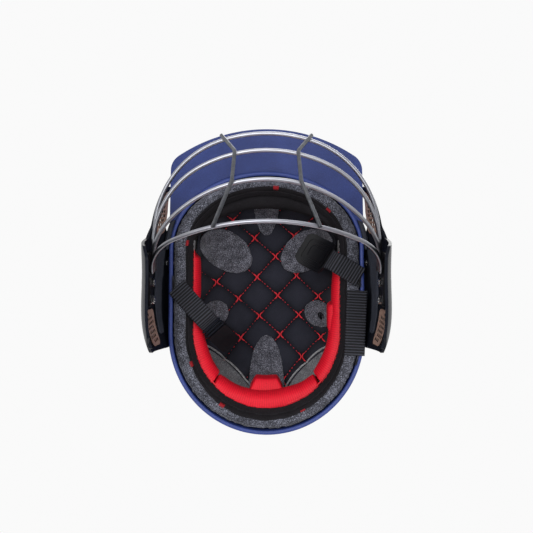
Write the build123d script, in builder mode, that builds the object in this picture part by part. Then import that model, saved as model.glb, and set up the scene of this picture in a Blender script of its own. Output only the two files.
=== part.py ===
from build123d import *
import os
from math import asin, atan2, cos, degrees, radians, sin, sqrt, tan

os.makedirs("parts", exist_ok=True)

# Cricket helmet, millimetres, standing on its ear guards. The peak points along -Y, the crown is up
# and the origin lies on the ground under the middle of the whole helmet.

# Overall sizes
helmet_length = 328.0
helmet_height = 250.0
shell_length = 282.0
shell_width = 213.0
shell_wall = 4.0
shell_back_turn = 108.0
shell_front_turn = 84.0
rim_height = 103.0
rim_tilt = 10.0
layer_gap = 0.25
overrun = 20.0

# Button on the crown
button_height = 3.0
button_radius = 8.0

# Peak
peak_wall = 4.5
peak_half_width = 103.0
peak_corner_back = 35.0
peak_corner_rounding = 20.0
peak_droop = 8.0
peak_arch_radius = 300.0
peak_root_rise = 2.0
peak_root_back = 75.0

# Foam, lining and pads, each thickness measured inwards
anchor_space = 1.8
liner_wall = 13.5
liner_rise = 12.0
roll_radius = 7.0
roll_rise = 3.0
band_gap = 0.2
band_width = 5.0
band_wall = 1.6
band_rise = 7.5
pad_wall = 15.5
pad_rise = 9.0
pad_height = 34.0
forehead_wall = 9.0
quilt_rise = 45.0
foam_wall = 4.0
quilt_wall = 4.5
quilt_cell = 34.0
quilt_channel = 1.4
quilt_turn = 41.5
quilt_node_x = -11.6
quilt_node_y = 9.9
felt_wall = 2.0
felt_tongue_half_width = 21.0
felt_tongue_half_length = 50.0
felt_rear_y = 131.0
felt_front_y = -91.0
felt_front_half_width = 16.0
felt_front_x = 47.0
felt_corner_y = -24.0
felt_corner_half_length = 34.0
felt_corner_half_width = 22.0
felt_side_x = 62.0
felt_side_y = 50.0
felt_side_radius = 16.0

# Ear guards and their inserts
guard_wall = 3.0
guard_height = 134.0
guard_waist_height = 104.0
guard_bulge_height = 50.0
guard_bulge_half_width = 125.5
guard_foot_half_width = 116.5
guard_waist_half_width = 118.0
guard_front_shoulder = 60.0
guard_back_shoulder = 45.0
guard_rounding = 8.0
guard_front = 112.0
guard_back = 78.0

# How far the guard's foot, bulge and waist draw in at its front, its two shoulders and its back
guard_foot_turns = (18.0, 1.0, 1.0, 14.0)
guard_bulge_turns = (20.0, 1.0, 1.0, 16.0)
guard_waist_turns = (18.0, 4.0, 1.5, 11.0)

# Windows, inserts and ribs of the ear guards
window_rounding = 4.0
mesh_wall = 1.0
mesh_lip = 2.6
mesh_pitch = 5.4
mesh_hole = 1.95
mesh_count = 15
ear_pad_wall = 2.5
ear_pad_drop = 1.0
ridge_height = 1.4
ridge_width = 3.0
ridge_pitch = 13.0
ridge_count = 3
ridge_length = 92.0
ridge_middle_y = 10.0

# Grille
bar_radius = 2.1
upright_radius = 2.0
weld_gap = 0.2
plate_wall = 2.0
plate_gap = 0.3
plate_inner_half_width = 118.0
pivot_y = -5.0
pivot_z = 50.0
clamp_reach = 18.0
screw_radius = 2.5
pivot_clearance = 0.05
screw_head_radius = 4.6
screw_head_height = 1.8
nut_radius = 4.4
nut_height = 3.0
screw_tip = 1.0
flange_screw_z = 124.0
flange_front_y = -18.0
flange_back_y = 50.0
boss_radius = 6.0
screw_hole_gap = 0.2
bar_end_reach = 11.0
plate_front_reach = 31.0
plate_back_reach = 25.0
plate_rise = 16.0
plate_drop = 20.0
plate_step_share = 0.5
plate_tongue = 8.0
plate_rounding = 4.0
slot_half_angle = 6.0
slot_steps = 5
upright_lean = 45.0
upright_overhang = 4.0
upright_bend = 9.0

# Each bar: how far forward and how high its middle is, the height of its ends, and its two radii
bar_sizes = {
    "top_bar": (-157.0, 78.0, 62.0, 150.0, 100.0),
    "upper_bar": (-139.0, 54.0, 56.0, 143.0, 92.0),
    "lower_bar": (-110.0, 30.0, 49.0, 135.0, 68.0),
    "chin_bar": (-70.0, 4.0, 42.0, 190.0, 45.0),
}
upright_half_widths = (45.0, 32.0, 34.0, 50.5)

# Straps
strap_width = 22.0
strap_wall = 1.8
strap_rib_pitch = 3.0
strap_rib_height = 0.7
strap_drop = 6.4
strap_bend = 9.0
strap_rib_share = 0.45
left_hinge_y = 6.0
left_hinge_shift = 4.0
left_heading = 48.0
left_run = 46.0
left_climb_run = 16.0
left_climb = 18.0
right_hinge_y = 79.0
right_hinge_shift = 4.5
right_heading = -87.0
right_run = 60.0
right_climb_run = 10.0
right_climb = -2.0
chin_hinge_y = -4.0
chin_heading = 212.0
chin_run = 30.0
chin_climb_run = 9.0
chin_climb = 8.0
anchor_wall = 1.3
anchor_height = 16.0
anchor_gap = 0.3
buckle_length = 34.0
buckle_width = 25.0
buckle_wall = 8.0
buckle_rounding = 4.0
buckle_mouth_share = 0.6
buckle_window_share = 0.4
cup_length = 46.0
cup_width = 38.0
cup_wall = 3.0
cup_arch = 8.0
cup_rounding = 10.0
cup_border_height = 0.9
cup_border_width = 1.2
cup_border_step = 10.0
cup_border_rounding = 6.0

# Sizes that follow from the ones above
shell_half_width = shell_width / 2
shell_half_length = shell_length / 2
shell_centre_y = helmet_length / 2 - shell_half_length
crown_height = helmet_height - button_height
shoulder_height = crown_height - shell_half_width
brow_y = shell_centre_y - shell_half_length
back_turn_y = shell_centre_y + shell_half_length - shell_back_turn
front_turn_y = brow_y + shell_front_turn
peak_tip_y = -helmet_length / 2
liner_outside = shell_wall + layer_gap
liner_inside = liner_outside + liner_wall
roll_inset = shell_wall + anchor_space + roll_radius
pad_outside = liner_inside + layer_gap
foam_inside = pad_outside + foam_wall
quilt_outside = foam_inside + layer_gap
quilt_inside = quilt_outside + quilt_wall
felt_outside = quilt_inside + layer_gap
felt_inside = felt_outside + felt_wall


def rim_plane(rise):
    """The plane of the rim, moved up by a rise"""
    tilt = radians(rim_tilt)
    middle = (0, shell_centre_y, rim_height + rise)
    return Plane(origin=middle, x_dir=(1, 0, 0), z_dir=(0, sin(tilt), cos(tilt)))


def rim_z(y, rise=0):
    """The height of the rim plane at a place along the helmet"""
    return rim_height + rise - (y - shell_centre_y) * tan(radians(rim_tilt))


def dome(inset):
    """The helmet's solid form, set in from the outside: a round arch with an oval dome at each end"""
    half_width = shell_half_width - inset
    ends = (
        (back_turn_y, shell_back_turn - inset, Keep.TOP),
        (front_turn_y, shell_front_turn - inset, Keep.BOTTOM),
    )
    with BuildPart() as form:
        for turn_y, reach, side in ends:
            middle = Plane(origin=(0, turn_y, 0), x_dir=(1, 0, 0), z_dir=(0, 1, 0))
            with BuildPart(mode=Mode.PRIVATE) as end:
                with BuildSketch(Plane(origin=middle.origin, x_dir=middle.x_dir, z_dir=-middle.z_dir)):
                    with BuildLine():
                        Line((0, 0), (half_width, 0))
                        Line((half_width, 0), (half_width, shoulder_height))
                        CenterArc((0, shoulder_height), half_width, 0, 90)
                        Line((0, shoulder_height + half_width), (0, 0))
                    make_face()
                revolve(axis=Axis(middle.origin, (0, 0, 1)))
                scale(by=(1, reach / half_width, 1), about=middle.origin)
                split(bisect_by=middle, keep=side)
            add(end.part)
        with BuildSketch(Plane(origin=(0, back_turn_y, 0), x_dir=(1, 0, 0), z_dir=(0, -1, 0))):
            with BuildLine():
                Line((-half_width, 0), (half_width, 0))
                Line((half_width, 0), (half_width, shoulder_height))
                CenterArc((0, shoulder_height), half_width, 0, 180)
                Line((-half_width, shoulder_height), (-half_width, 0))
            make_face()
        extrude(amount=back_turn_y - front_turn_y)
    return form.part


def layer(outside, inside, rise):
    """One layer of the bowl between two insets, cut off parallel to the rim"""
    with BuildPart() as form:
        add(dome(outside))
        add(dome(inside), mode=Mode.SUBTRACT)
        split(bisect_by=rim_plane(rise), keep=Keep.TOP)
    return form.part


# Outer shell: an even wall, open below
outer_form = dome(0)
with BuildPart() as outer_shell:
    add(layer(0, shell_wall, 0))
outer_shell.part.label = "outer_shell"

# Crown button: a low domed disc on top of the shell
with BuildPart() as crown_button:
    with BuildSketch(Plane.XY.offset(crown_height - button_height)):
        with Locations((0, shell_centre_y)):
            Circle(button_radius)
    extrude(amount=2 * button_height)
    fillet(crown_button.faces().sort_by(Axis.Z)[-1].edges(), button_height * 0.6)
    add(outer_form, mode=Mode.SUBTRACT)
crown_button.part.label = "crown_button"

# Peak: an arched, drooping plate cut to its outline in plan, with its root on the shell
peak_tilt = radians(peak_droop)
arch_plane = Plane(
    origin=(0, brow_y, rim_z(brow_y, peak_root_rise)),
    x_dir=(1, 0, 0),
    z_dir=(0, -cos(peak_tilt), -sin(peak_tilt)),
)
peak_corner_y = peak_tip_y + peak_corner_back
peak_root_y = peak_corner_y + peak_root_back
with BuildPart() as peak:
    with BuildSketch():
        with BuildLine():
            corners = [(side * peak_half_width, peak_corner_y) for side in (-1, 1)]
            ThreePointArc(corners[0], (0, peak_tip_y), corners[1])
            Line((peak_half_width, peak_corner_y), (shell_half_width, peak_root_y))
            Line((shell_half_width, peak_root_y), (-shell_half_width, peak_root_y))
            Line((-shell_half_width, peak_root_y), (-peak_half_width, peak_corner_y))
        make_face()
        fillet(vertices().group_by(Axis.Y)[0], peak_corner_rounding)
    extrude(amount=helmet_height)
    with BuildSketch(arch_plane):
        with Locations((0, -peak_arch_radius)):
            Circle(peak_arch_radius + peak_wall)
            Circle(peak_arch_radius, mode=Mode.SUBTRACT)
    extrude(amount=helmet_length, both=True, mode=Mode.INTERSECT)
    add(outer_form, mode=Mode.SUBTRACT)
    add(peak.solids().sort_by(Axis.Y)[0], mode=Mode.INTERSECT)
peak.part.label = "peak"

# Impact liner: thick foam against the shell, above the rim roll
with BuildPart() as impact_liner:
    add(layer(liner_outside, liner_inside, liner_rise))
impact_liner.part.label = "impact_liner"


def bowl_outline(rise, inset):
    """The bowl's outline in a plane parallel to the rim: two half ovals joined by straight sides"""
    stretch = 1 / cos(radians(rim_tilt))
    wide = shell_half_width - inset
    back = (back_turn_y - shell_centre_y) * stretch
    front = (front_turn_y - shell_centre_y) * stretch
    with BuildLine(rim_plane(rise)) as outline:
        EllipticalCenterArc((0, back), wide, (shell_back_turn - inset) * stretch, 0, arc_size=180)
        Line((-wide, back), (-wide, front))
        EllipticalCenterArc((0, front), wide, (shell_front_turn - inset) * stretch, 180, arc_size=180)
        Line((wide, front), (wide, back))
    return outline.wire()


# Rim roll: a round foam roll that follows the rim inside the shell
with BuildPart() as rim_roll:
    roll_path = bowl_outline(roll_rise, roll_inset)
    with BuildSketch(Plane(roll_path @ 0, z_dir=roll_path % 0)):
        Circle(roll_radius)
    sweep(path=roll_path)
rim_roll.part.label = "rim_roll"


# Lining band: a narrow cloth collar that slopes inwards from the roll to the pads
band_foot = roll_inset + roll_radius + band_gap
band_head = band_foot + band_width
with BuildPart() as lining_band:
    for inset, mode in ((0, Mode.ADD), (band_wall, Mode.SUBTRACT)):
        foot_face = Face(bowl_outline(0, band_foot + inset))
        head_face = Face(bowl_outline(band_rise, band_head + inset))
        loft(sections=[foot_face, head_face], mode=mode)
lining_band.part.label = "lining_band"


def sector(start_angle, end_angle):
    """An upright wedge about the middle of the bowl, its angles counted from +X"""
    reach = shell_length
    middle = (start_angle + end_angle) / 2
    places = [(reach * cos(radians(a)), reach * sin(radians(a))) for a in (start_angle, middle, end_angle)]
    with BuildPart() as form:
        with BuildSketch(Plane(origin=(0, shell_centre_y, 0))):
            with BuildLine():
                Polyline((0, 0), *places, close=True)
            make_face()
        extrude(amount=helmet_height)
    return form.part


def pad_room(wall):
    """The space for the head inside the pads, drawn in where the cushions swell"""
    with BuildPart() as form:
        levels = [(pad_rise + up * pad_height, pad_outside + swell * wall) for up, swell in pad_swell_shares]
        loft(sections=[Face(bowl_outline(rise, inset)) for rise, inset in levels])
    return form.part


def pad(start_angle, end_angle, wall):
    """A cushion on the liner, crowned towards the head and with its upright edges rounded"""
    with BuildPart() as form:
        add(pad_form)
        split(bisect_by=rim_plane(pad_rise), keep=Keep.TOP)
        split(bisect_by=rim_plane(pad_rise + pad_height), keep=Keep.BOTTOM)
        add(sector(start_angle, end_angle), mode=Mode.INTERSECT)
        add(pad_room(wall), mode=Mode.SUBTRACT)
    return form.part


# How high up a pad, and how much of its wall, its inner side has swollen to
pad_swell_shares = ((0, 0.62), (0.22, 0.93), (0.5, 1), (0.78, 0.93), (1, 0.62))
pad_form = dome(pad_outside)
pad_angles = {
    "forehead_pad": (218, 322, forehead_wall),
    "side_pad_front_left": (178, 212, pad_wall),
    "side_pad_rear_left": (125, 170, pad_wall),
    "side_pad_right": (-28, 55, pad_wall),
    "rear_pad": (59, 121, pad_wall),
}
pads = []
for name, (start_angle, end_angle, wall) in pad_angles.items():
    with BuildPart() as cushion:
        add(pad(start_angle, end_angle, wall))
    cushion.part.label = name
    pads.append(cushion)

# Crown pad: a grey foam sheet with a quilted cloth pad over it, stitched in diamonds
with BuildPart() as crown_foam:
    add(layer(pad_outside, foam_inside, quilt_rise))
crown_foam.part.label = "crown_foam"

channel_form = dome(quilt_inside - quilt_channel)
channel_count = 1 + 2 * int(shell_half_width / quilt_cell)
with BuildPart() as channels:
    for channel_turn in (quilt_turn, quilt_turn + 90):
        with BuildSketch():
            with Locations(Location((quilt_node_x, quilt_node_y), channel_turn)):
                with GridLocations(quilt_cell, quilt_cell, 1, channel_count):
                    Rectangle(shell_length, quilt_channel)
        extrude(amount=helmet_height)
    add(channel_form, mode=Mode.INTERSECT)
with BuildPart() as crown_quilt:
    add(layer(quilt_outside, quilt_inside, quilt_rise))
    add(channels.part, mode=Mode.SUBTRACT)
crown_quilt.part.label = "crown_quilt"

# Felt patches: thin ovals on the quilt, each with its place, its half sizes and its turn
felt_places = {
    "felt_rear": (0, felt_rear_y, felt_tongue_half_width, felt_tongue_half_length, 0),
    "felt_front": (0, felt_front_y, felt_front_half_width, felt_tongue_half_length, 0),
    "felt_front_left": (-felt_front_x, felt_corner_y, felt_corner_half_length, felt_corner_half_width, 40),
    "felt_front_right": (felt_front_x, felt_corner_y, felt_corner_half_length, felt_corner_half_width, -40),
    "felt_side_left": (-felt_side_x, felt_side_y, felt_side_radius, felt_side_radius, 0),
    "felt_side_right": (felt_side_x, felt_side_y, felt_side_radius, felt_side_radius, 0),
}
felt_layer = layer(felt_outside, felt_inside, quilt_rise)
felts = []
for name, (x, y, half_width, half_length, turn) in felt_places.items():
    with BuildPart() as felt:
        with BuildSketch():
            with Locations(Location((x, y), turn)):
                Ellipse(half_width, half_length)
        extrude(amount=helmet_height)
        add(felt_layer, mode=Mode.INTERSECT)
    felt.part.label = name
    felts.append(felt)

# Ear guards: a curved plate lofted through four levels, cut to its outline in side view
guard_length = guard_front + guard_back
guard_seat = layer_gap + guard_wall


def shell_side(y):
    """How far the shell reaches sideways at a place along the helmet"""
    past = max((y - back_turn_y) / shell_back_turn, (front_turn_y - y) / shell_front_turn, 0)
    return shell_half_width * sqrt(1 - past**2)


guard_middle_y = (guard_back - guard_front) / 2
guard_stations = (-guard_front, -guard_front_shoulder, guard_middle_y, guard_back_shoulder, guard_back)


def guard_level(half_width, turns):
    """How far out the plate stands at its five stations at one height"""
    front, front_shoulder, back_shoulder, back = turns
    return [half_width - turn for turn in (front, front_shoulder, 0, back_shoulder, back)]


def guard_levels():
    """Each level's height with the plate's places at the five stations; the top level follows the shell"""
    return (
        (0, guard_level(guard_foot_half_width, guard_foot_turns)),
        (guard_bulge_height, guard_level(guard_bulge_half_width, guard_bulge_turns)),
        (guard_waist_height, guard_level(guard_waist_half_width, guard_waist_turns)),
        (guard_height, [shell_side(max(y, -guard_front_shoulder)) + guard_seat for y in guard_stations]),
    )


def guard_band(depth, wall):
    """The plate of a wall, set in by a depth from the guard's outside"""
    with BuildPart() as form:
        for height, places in guard_levels():
            with BuildSketch(Plane.XY.offset(height)):
                with BuildLine():
                    outer = Spline([(x - depth, y) for x, y in zip(places, guard_stations)])
                    inner = Spline([(x - depth - wall, y) for x, y in zip(places, guard_stations)])
                    Line(outer @ 0, inner @ 0)
                    Line(outer @ 1, inner @ 1)
                make_face()
        loft()
    return form.part


def guard_outline(shares, rounding, margin=0):
    """A rounded outline in side view, from shares of the guard's length and height"""
    corners = [(along * guard_length - guard_front, up * guard_height) for along, up in shares]
    with BuildSketch(Plane.YZ) as outline:
        with BuildLine():
            FilletPolyline(*corners, radius=rounding, close=True)
        make_face()
        if margin:
            offset(amount=margin)
    return outline.sketch


guard_shares = (
    (0.04, 0.73),
    (0.07, 0.6),
    (0.27, 0.57),
    (0.33, 0.46),
    (0.35, 0.08),
    (0.4, 0),
    (0.81, 0),
    (0.92, 0.17),
    (0.97, 0.74),
    (0.96, 1),
    (0.42, 1),
    (0.27, 0.8),
)
front_window_shares = ((0.09, 0.7), (0.1, 0.64), (0.29, 0.6), (0.31, 0.68), (0.3, 0.78), (0.2, 0.77))
rear_window_shares = ((0.73, 0.35), (0.9, 0.37), (0.91, 0.56), (0.74, 0.56))
ear_pad_shares = ((0.4, 0.62), (0.88, 0.62), (0.89, 0.95), (0.4, 0.95))
guard_face = guard_outline(guard_shares, guard_rounding)
window_faces = [guard_outline(s, window_rounding) for s in (front_window_shares, rear_window_shares)]


def cut_across(face):
    """The room that an outline in side view takes up on the right side"""
    with BuildPart() as form:
        extrude(face, amount=shell_width, dir=(1, 0, 0))
    return form.part


guard_room = cut_across(guard_face)
window_rooms = [cut_across(face) for face in window_faces]


def left_of(part, label):
    """The mirror image of a right-hand piece"""
    with BuildPart() as piece:
        add(part)
        mirror(about=Plane.YZ, mode=Mode.REPLACE)
    piece.part.label = label
    return piece


# Bosses under the grille plate, and the holes of its two screws on each side
plate_outer_half_width = plate_inner_half_width + plate_wall
boss_face_x = plate_outer_half_width + plate_gap
screw_places = ((pivot_y, pivot_z), (pivot_y + clamp_reach, pivot_z))
flange_places = ((flange_front_y, flange_screw_z), (flange_back_y, flange_screw_z))
all_places = (*screw_places, *flange_places)
hole_radius = screw_radius + screw_hole_gap


def pins_along_x(places, start, end, radius):
    """Round pins along X at places in side view, between two distances from the middle"""
    with BuildPart() as pins:
        with BuildSketch(Plane.YZ.offset(start)):
            with Locations(*places):
                Circle(radius)
        extrude(amount=end - start)
    return pins.part


def ridges():
    """Long ribs on the guard's inner face, running front to back"""
    middle_z = guard_bulge_height / 2
    with BuildPart() as ribs:
        add(guard_band(guard_wall / 2, guard_wall / 2 + ridge_height))
        with BuildSketch(Plane.YZ) as strips:
            with Locations((ridge_middle_y, middle_z)):
                with GridLocations(ridge_pitch, ridge_pitch, 1, ridge_count):
                    RectangleRounded(ridge_length, ridge_width, ridge_width * 0.45)
        extrude(amount=shell_width, mode=Mode.INTERSECT)
    return ribs.part


shell_seat = dome(-layer_gap)
with BuildPart() as ear_guard_right:
    add(guard_band(0, guard_wall))
    add(guard_room, mode=Mode.INTERSECT)
    add(ridges())
    add(window_rooms, mode=Mode.SUBTRACT)
    add(pins_along_x(screw_places, boss_face_x, guard_bulge_half_width - guard_wall / 2, boss_radius))
    add(pins_along_x(flange_places, shell_half_width / 2, shell_half_width + guard_wall, boss_radius))
    add(shell_seat, mode=Mode.SUBTRACT)
    add(pins_along_x(all_places, shell_half_width / 2, shell_width, hole_radius), mode=Mode.SUBTRACT)
ear_guard_right.part.label = "ear_guard_right"


def mesh_insert(window, label):
    """A perforated sheet behind a window, with whole hexagonal holes only"""
    frame_face = guard_outline(window, window_rounding, mesh_lip)
    clear_face = guard_outline(window, window_rounding, -mesh_hole)
    middle = clear_face.faces()[0].center()
    with BuildPart() as piece:
        add(guard_band(guard_wall + layer_gap, mesh_wall))
        extrude(frame_face, amount=shell_width, dir=(1, 0, 0), mode=Mode.INTERSECT)
        with BuildSketch(Plane.YZ):
            with Locations((middle.Y, middle.Z)):
                with HexLocations(mesh_pitch / 2, mesh_count, mesh_count) as pattern:
                    places = [place.position for place in pattern.locations]
            with Locations(*[(p.Y, p.Z) for p in places if clear_face.faces()[0].is_inside(p)]):
                RegularPolygon(mesh_hole, 6)
        extrude(amount=shell_width, mode=Mode.SUBTRACT)
    piece.part.label = label
    return piece


mesh_front_right = mesh_insert(front_window_shares, "mesh_front_right")
mesh_rear_right = mesh_insert(rear_window_shares, "mesh_rear_right")

# Inner ear pads: a thin slate-grey lining below the rim, on the guard's flange
with BuildPart() as ear_pad_right:
    add(guard_band(guard_wall + layer_gap, ear_pad_wall))
    ear_pad_face = guard_outline(ear_pad_shares, window_rounding)
    extrude(ear_pad_face, amount=shell_width, dir=(1, 0, 0), mode=Mode.INTERSECT)
    split(bisect_by=rim_plane(-ear_pad_drop), keep=Keep.BOTTOM)
ear_pad_right.part.label = "ear_pad_right"


# Grille bars: each is a flat hoop, leaning back up from the middle of the face to the side plates
bar_half_width = plate_inner_half_width - bar_radius - weld_gap
bar_end_y = pivot_y - bar_end_reach


def bar_plane(centre_y, centre_z, end_z):
    """The plane of a bar, with its origin at the middle of the front"""
    lean = atan2(end_z - centre_z, bar_end_y - centre_y)
    return Plane(origin=(0, centre_y, centre_z), x_dir=(1, 0, 0), z_dir=(0, -sin(lean), cos(lean)))


def grille_bar(label, centre_y, centre_z, end_z, front_radius, corner_radius):
    """One bar: a front arc, two corner arcs and two straight ends"""
    plane = bar_plane(centre_y, centre_z, end_z)
    depth = sqrt((bar_end_y - centre_y) ** 2 + (end_z - centre_z) ** 2)
    corner_x = bar_half_width - corner_radius
    reach = front_radius - corner_radius
    corner_y = front_radius - sqrt(reach**2 - corner_x**2)
    meet_x = corner_x * front_radius / reach
    meet_y = front_radius + (corner_y - front_radius) * front_radius / reach
    turn = degrees(asin((corner_y - meet_y) / corner_radius))
    with BuildPart() as bar:
        with BuildLine(plane) as path:
            Line((-bar_half_width, depth), (-bar_half_width, corner_y))
            CenterArc((-corner_x, corner_y), corner_radius, 180, turn)
            ThreePointArc((-meet_x, meet_y), (0, 0), (meet_x, meet_y))
            CenterArc((corner_x, corner_y), corner_radius, 0, -turn)
            Line((bar_half_width, corner_y), (bar_half_width, depth))
        wire = path.wire()
        with BuildSketch(Plane(wire @ 0, z_dir=wire % 0)):
            Circle(bar_radius)
        sweep(path=wire)
    bar.part.label = label
    return bar


bars = [grille_bar(label, *sizes) for label, sizes in bar_sizes.items()]

# Uprights: two bent wires welded across the bars on their outer side
lean = radians(upright_lean)
contact = bar_radius + upright_radius + weld_gap


def upright_places():
    """Where a right-hand upright's centre passes each bar"""
    places = []
    for (centre_y, centre_z, end_z, front_radius, _), x in zip(bar_sizes.values(), upright_half_widths):
        dip = front_radius - sqrt(front_radius**2 - x**2)
        place = bar_plane(centre_y, centre_z, end_z).from_local_coords(Vector(x, dip, 0))
        places.append(place - Vector(0, contact * sin(lean), contact * cos(lean)))
    return places


with BuildPart() as upright_right:
    points = upright_places()
    first = points[0] + (points[0] - points[1]).normalized() * upright_overhang
    last = points[-1] + (points[-1] - points[-2]).normalized() * upright_overhang
    with BuildLine() as path:
        FilletPolyline(first, *points[1:-1], last, radius=upright_bend)
    wire = path.wire()
    with BuildSketch(Plane(wire @ 0, z_dir=wire % 0)):
        Circle(upright_radius)
    sweep(path=wire)
upright_right.part.label = "upright_right"

# Side plates of the grille, with a pivot hole and a curved slot for the clamp screw
with BuildPart() as side_plate_right:
    with BuildSketch(Plane.YZ.offset(plate_inner_half_width)):
        with BuildLine():
            FilletPolyline(
                (pivot_y - plate_front_reach, pivot_z + plate_rise),
                (pivot_y - plate_front_reach, pivot_z - plate_drop),
                (bar_end_y, pivot_z - plate_drop * plate_step_share),
                (pivot_y + plate_back_reach, pivot_z - plate_tongue),
                (pivot_y + plate_back_reach, pivot_z + plate_tongue),
                (bar_end_y, pivot_z + plate_rise),
                radius=plate_rounding,
                close=True,
            )
        make_face()
        with Locations((pivot_y, pivot_z)):
            Circle(screw_radius + pivot_clearance, mode=Mode.SUBTRACT)
        with Locations((pivot_y, pivot_z)):
            slot_angle = 2 * slot_half_angle
            with PolarLocations(clamp_reach, slot_steps, -slot_half_angle, slot_angle, endpoint=True):
                Circle(screw_radius + plate_gap, mode=Mode.SUBTRACT)
    extrude(amount=plate_wall)
side_plate_right.part.label = "side_plate_right"


def screw(places, tip_x, seat_x, under_head):
    """Pan-head screws along X, their heads seated on a piece, on the right and mirrored on the left"""
    with BuildPart() as screws:
        add(pins_along_x(places, seat_x, seat_x + screw_head_height + guard_wall / 2, screw_head_radius))
        fillet(screws.faces().sort_by(Axis.X)[-1].edges(), screw_head_height / 2)
        add(under_head, mode=Mode.SUBTRACT)
        add(pins_along_x(places, tip_x, seat_x + guard_wall / 2, screw_radius))
        mirror(about=Plane.YZ)
    return screws


def nut(places, start_x, room=None):
    """Hexagon nuts along X, cut to a room where they have one, on both sides"""
    with BuildPart() as nuts:
        with BuildSketch(Plane.YZ.offset(start_x)):
            with Locations(*places):
                RegularPolygon(nut_radius, 6)
                Circle(screw_radius, mode=Mode.SUBTRACT)
        extrude(amount=nut_height)
        if room:
            add(room, mode=Mode.INTERSECT)
        mirror(about=Plane.YZ)
    return nuts


# Grille screws: a pivot screw and a clamp screw on each side, heads outside, nuts on the side plate
grille_nut_x = plate_inner_half_width - weld_gap - nut_height
grille_seat_x = guard_bulge_half_width - guard_wall / 2
pivot_screws = screw(screw_places[:1], grille_nut_x - screw_tip, grille_seat_x, ear_guard_right.part)
pivot_nuts = nut(screw_places[:1], grille_nut_x)
clamp_screws = screw(screw_places[1:], grille_nut_x - screw_tip, grille_seat_x, ear_guard_right.part)
clamp_nuts = nut(screw_places[1:], grille_nut_x)

# Guard screws: two on each side through flange and shell, into nuts that lie in pockets of the liner
flange_seat_x = shell_half_width + guard_seat
guard_nut_x = min(shell_side(y) for y, _ in flange_places) - liner_outside - nut_height
guard_screws = screw(flange_places, guard_nut_x, flange_seat_x, ear_guard_right.part)
guard_nuts = nut(flange_places, guard_nut_x, dome(liner_outside))
fasteners = [pivot_screws, pivot_nuts, clamp_screws, clamp_nuts, guard_screws, guard_nuts]


def both_sides(form):
    """A right-hand form together with its mirror image"""
    with BuildPart() as pair:
        add(form)
        mirror(about=Plane.YZ)
    return pair.part


shell_holes = both_sides(pins_along_x(flange_places, shell_half_width / 2, shell_width, hole_radius))
pocket_x = guard_nut_x - screw_tip
nut_pockets = both_sides(pins_along_x(flange_places, pocket_x, shell_width, nut_radius + screw_hole_gap))
with BuildPart() as drilled_shell:
    add(outer_shell.part)
    add(shell_holes, mode=Mode.SUBTRACT)
drilled_shell.part.label = "outer_shell"
with BuildPart() as pocketed_liner:
    add(impact_liner.part)
    add(nut_pockets, mode=Mode.SUBTRACT)
pocketed_liner.part.label = "impact_liner"
fastener_names = ("pivot_screws", "pivot_nuts", "clamp_screws", "clamp_nuts", "guard_screws", "guard_nuts")
for fastener, name in zip(fasteners, fastener_names):
    fastener.part.label = name

# Straps: ribbed elastic webbing, drawn in an upright plane that starts at the hinge line
def hinge_x(y):
    """How far out a strap's anchor stands, in the narrow space between the shell and the roll"""
    return shell_side(y) - shell_wall - anchor_space / 2


def strap_plane(x, y, heading):
    """An upright plane at a strap's hinge, its X axis along the strap and its Y axis away from the rim"""
    turn = radians(heading)
    rim = rim_plane(0)
    along = rim.x_dir * cos(turn) + rim.y_dir * sin(turn)
    return Plane(origin=(x, y, rim_z(y, -strap_drop)), x_dir=along, z_dir=along.cross(rim.z_dir))


def strap(label, plane, run, climb_run, climb):
    """A band that runs under the roll and then climbs into the bowl, with ribs across it"""
    with BuildPart() as band:
        with BuildSketch(plane):
            with BuildLine(mode=Mode.PRIVATE) as centre:
                FilletPolyline((0, 0), (run, 0), (run + climb_run, climb), radius=strap_bend)
            line = centre.wire()
            trace(line, strap_wall)
            ribs = int(line.length / strap_rib_pitch) - 1
            for rib in range(1, ribs):
                spot = line @ (rib / ribs)
                angle = line.tangent_angle_at(rib / ribs)
                with Locations(Location((spot.X, spot.Y), angle)):
                    Rectangle(strap_rib_pitch * strap_rib_share, strap_wall + 2 * strap_rib_height)
        extrude(amount=strap_width / 2, both=True)
    band.part.label = label
    return band


def end_plane(plane, run, climb_run, climb):
    """The plane of what hangs on a strap's end, with its X axis along the climbing stretch"""
    slant = atan2(climb, climb_run)
    along = plane.x_dir * cos(slant) + plane.y_dir * sin(slant)
    tip = plane.from_local_coords(Vector(run + climb_run, climb, 0))
    return Plane(origin=tip, x_dir=along, z_dir=plane.z_dir.cross(along))


left_plane = strap_plane(left_hinge_shift - hinge_x(left_hinge_y), left_hinge_y, left_heading)
left_strap = strap("left_strap", left_plane, left_run, left_climb_run, left_climb)
right_plane = strap_plane(hinge_x(right_hinge_y) - right_hinge_shift, right_hinge_y, right_heading)
right_strap = strap("right_strap", right_plane, right_run, right_climb_run, right_climb)
chin_plane = strap_plane(hinge_x(chin_hinge_y), chin_hinge_y, chin_heading)
chin_strap = strap("chin_strap", chin_plane, chin_run, chin_climb_run, chin_climb)

# Strap anchors: webbing tabs between the shell and the roll, one above each hinge line
anchor_foot = strap_wall / 2 + strap_rib_height + anchor_gap - strap_drop
anchor_layer = layer(shell_wall + layer_gap, shell_wall + layer_gap + anchor_wall, anchor_foot)


def strap_anchor(label, y, side):
    """A tab on the inside of the shell, as wide as its strap"""
    with BuildPart() as tab:
        with BuildSketch(Plane.YZ):
            with Locations((y, rim_z(y))):
                RectangleRounded(strap_width, anchor_height, strap_width / 8)
        extrude(amount=side * shell_width)
        add(anchor_layer, mode=Mode.INTERSECT)
    tab.part.label = label
    return tab


anchors = [
    strap_anchor("left_strap_anchor", left_hinge_y, -1),
    strap_anchor("right_strap_anchor", right_hinge_y, 1),
    strap_anchor("chin_strap_anchor", chin_hinge_y, 1),
]


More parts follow.
